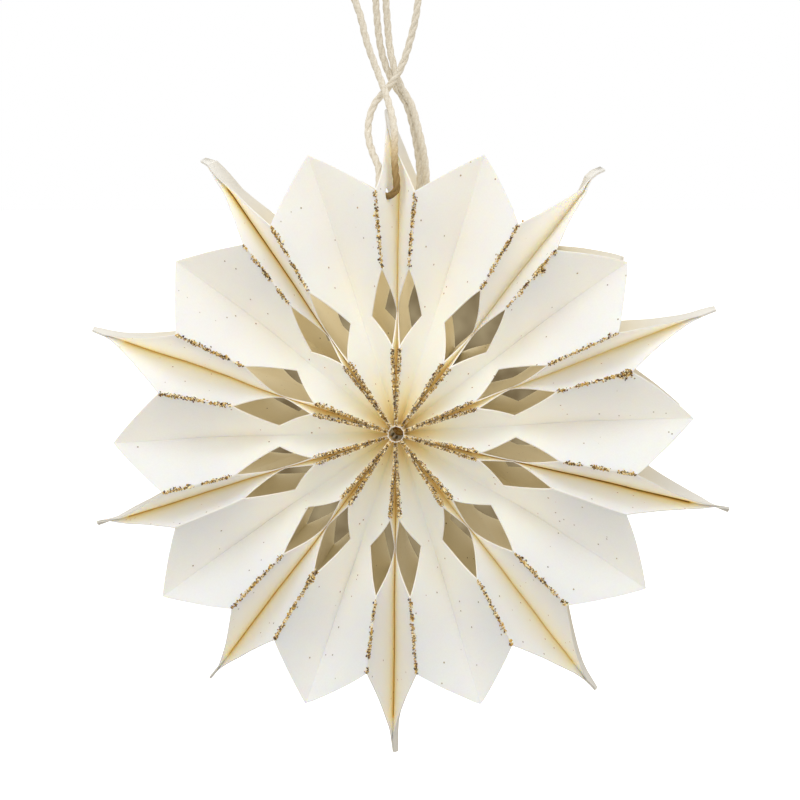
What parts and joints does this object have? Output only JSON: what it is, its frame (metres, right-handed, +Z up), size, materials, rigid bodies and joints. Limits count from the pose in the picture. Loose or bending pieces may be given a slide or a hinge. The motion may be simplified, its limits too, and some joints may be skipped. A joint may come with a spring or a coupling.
{
  "type": "paper star ornament",
  "caption": "Hanging star of folded cream paper bags fanned round one axis, with pointed petals, cut diamond holes, gold glitter on the folds and cotton cords.",
  "frame": {"origin": "on the star's axis, in its middle plane", "axes": "+Z up to the hanging cords, -Y out of the front, +X to the right seen from the front"},
  "size_m": [0.1991, 0.084, 0.2724],
  "materials": {
    "paper": "uncoated handmade paper",
    "cord": "twisted cotton",
    "glitter": "coarse gold glitter"
  },
  "bodies": {
    "root": {"paper_bag_01": "paper", "paper_bag_02": "paper", "paper_bag_03": "paper", "paper_bag_04": "paper", "paper_bag_05": "paper", "paper_bag_06": "paper", "paper_bag_07": "paper", "paper_bag_08": "paper", "paper_bag_09": "paper", "paper_bag_10": "paper", "left_cord": "cord", "right_cord_left_strand": "cord", "right_cord_right_strand": "cord", "hanging_knot": "cord", "inner_knot": "cord"}
  },
  "joints": []
}
